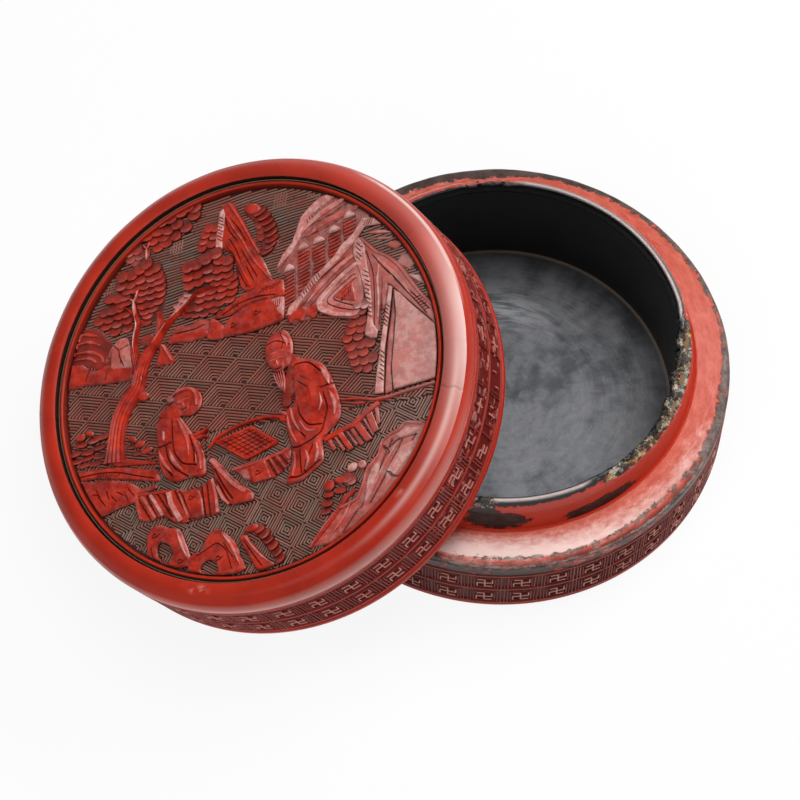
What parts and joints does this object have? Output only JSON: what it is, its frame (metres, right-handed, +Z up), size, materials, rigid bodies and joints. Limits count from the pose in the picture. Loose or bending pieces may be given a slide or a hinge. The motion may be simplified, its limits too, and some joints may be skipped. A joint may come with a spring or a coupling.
{
  "type": "round carved cinnabar lacquer box",
  "caption": "Round two-part box of carved red lacquer over wood, its lid taken off and leaning on the base's collar.",
  "frame": {"origin": "centre of the flat underside of the base, on the table", "axes": "+Z up along the base's axis; the lid leans to the -X side and slopes down and slightly towards -Y"},
  "size_m": [0.1797, 0.1378, 0.0719],
  "materials": {
    "red_lacquer": "satin cinnabar lacquer",
    "carved_lacquer": "carved cinnabar lacquer with dark ground",
    "black_lacquer": "polished black lacquer",
    "core_wood": "bare wood, hidden"
  },
  "bodies": {
    "base": {"base_underside_coat": "black_lacquer", "base_floor_board": "core_wood", "base_wall_core": "core_wood", "base_collar_hoop": "core_wood", "base_lining_floor": "black_lacquer", "base_lining_wall": "black_lacquer", "base_foot_ring": "red_lacquer", "base_carved_band": "carved_lacquer", "base_shoulder_coat": "red_lacquer", "base_collar_coat": "red_lacquer"},
    "lid": {"lid_mouth_ring": "red_lacquer", "lid_wall_core": "core_wood", "lid_lining_wall": "black_lacquer", "lid_lining_ceiling": "black_lacquer", "lid_carved_band": "carved_lacquer", "lid_top_board": "core_wood", "lid_border_moulding": "red_lacquer", "lid_inner_bead": "red_lacquer", "lid_picture_panel": "carved_lacquer"}
  },
  "joints": [
    {"name": "lid_lift", "type": "slide", "parent": "base", "child": "lid", "axis": [0, 0, 1], "range_m": [0, 0.08]}
  ]
}
